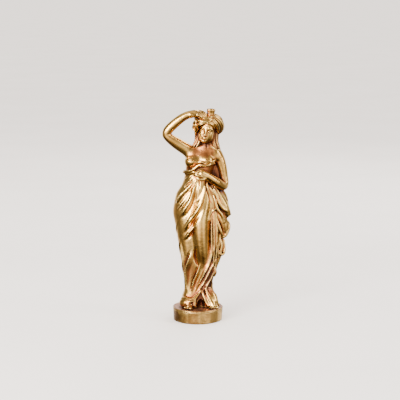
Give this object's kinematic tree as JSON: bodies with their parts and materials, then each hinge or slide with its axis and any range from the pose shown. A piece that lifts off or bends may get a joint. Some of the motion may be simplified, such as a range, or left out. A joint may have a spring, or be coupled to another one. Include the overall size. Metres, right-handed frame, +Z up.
{
  "type": "statuette",
  "caption": "Small gilt bronze statuette of a standing draped figure, an arm raised to the hair and a hand holding the drapery, on a low round plinth.",
  "frame": {"origin": "centre of the plinth's underside", "axes": "+Z up, the figure faces -Y, +X is the viewer's right when looking at its front"},
  "size_m": [0.0525, 0.039, 0.165],
  "materials": {
    "gilding": "worn gilding over bronze, satin, coppery brown in the folds",
    "plinth_gilding": "rubbed gilding over bronze, satin, mottled, with a coppery top face",
    "bronze_wire": "drawn bronze wire, filed",
    "steel": "plain turned steel, dulled"
  },
  "bodies": {
    "root": {"plinth": "plinth_gilding", "lower_body": "gilding", "torso": "gilding", "head": "gilding", "raised_arm": "gilding", "left_arm": "gilding", "hip_swag": "gilding", "knee_swag": "gilding", "crown_socket": "gilding", "waist_pins": "bronze_wire", "neck_pin": "bronze_wire", "raised_arm_pin": "bronze_wire", "left_arm_pin": "bronze_wire", "swag_rivets": "bronze_wire", "crown_pin": "bronze_wire", "raised_hand_pin": "bronze_wire", "left_hand_pin": "bronze_wire", "base_stud": "steel", "base_washer": "steel", "base_nut": "steel", "locating_dowel": "steel"}
  },
  "joints": []
}
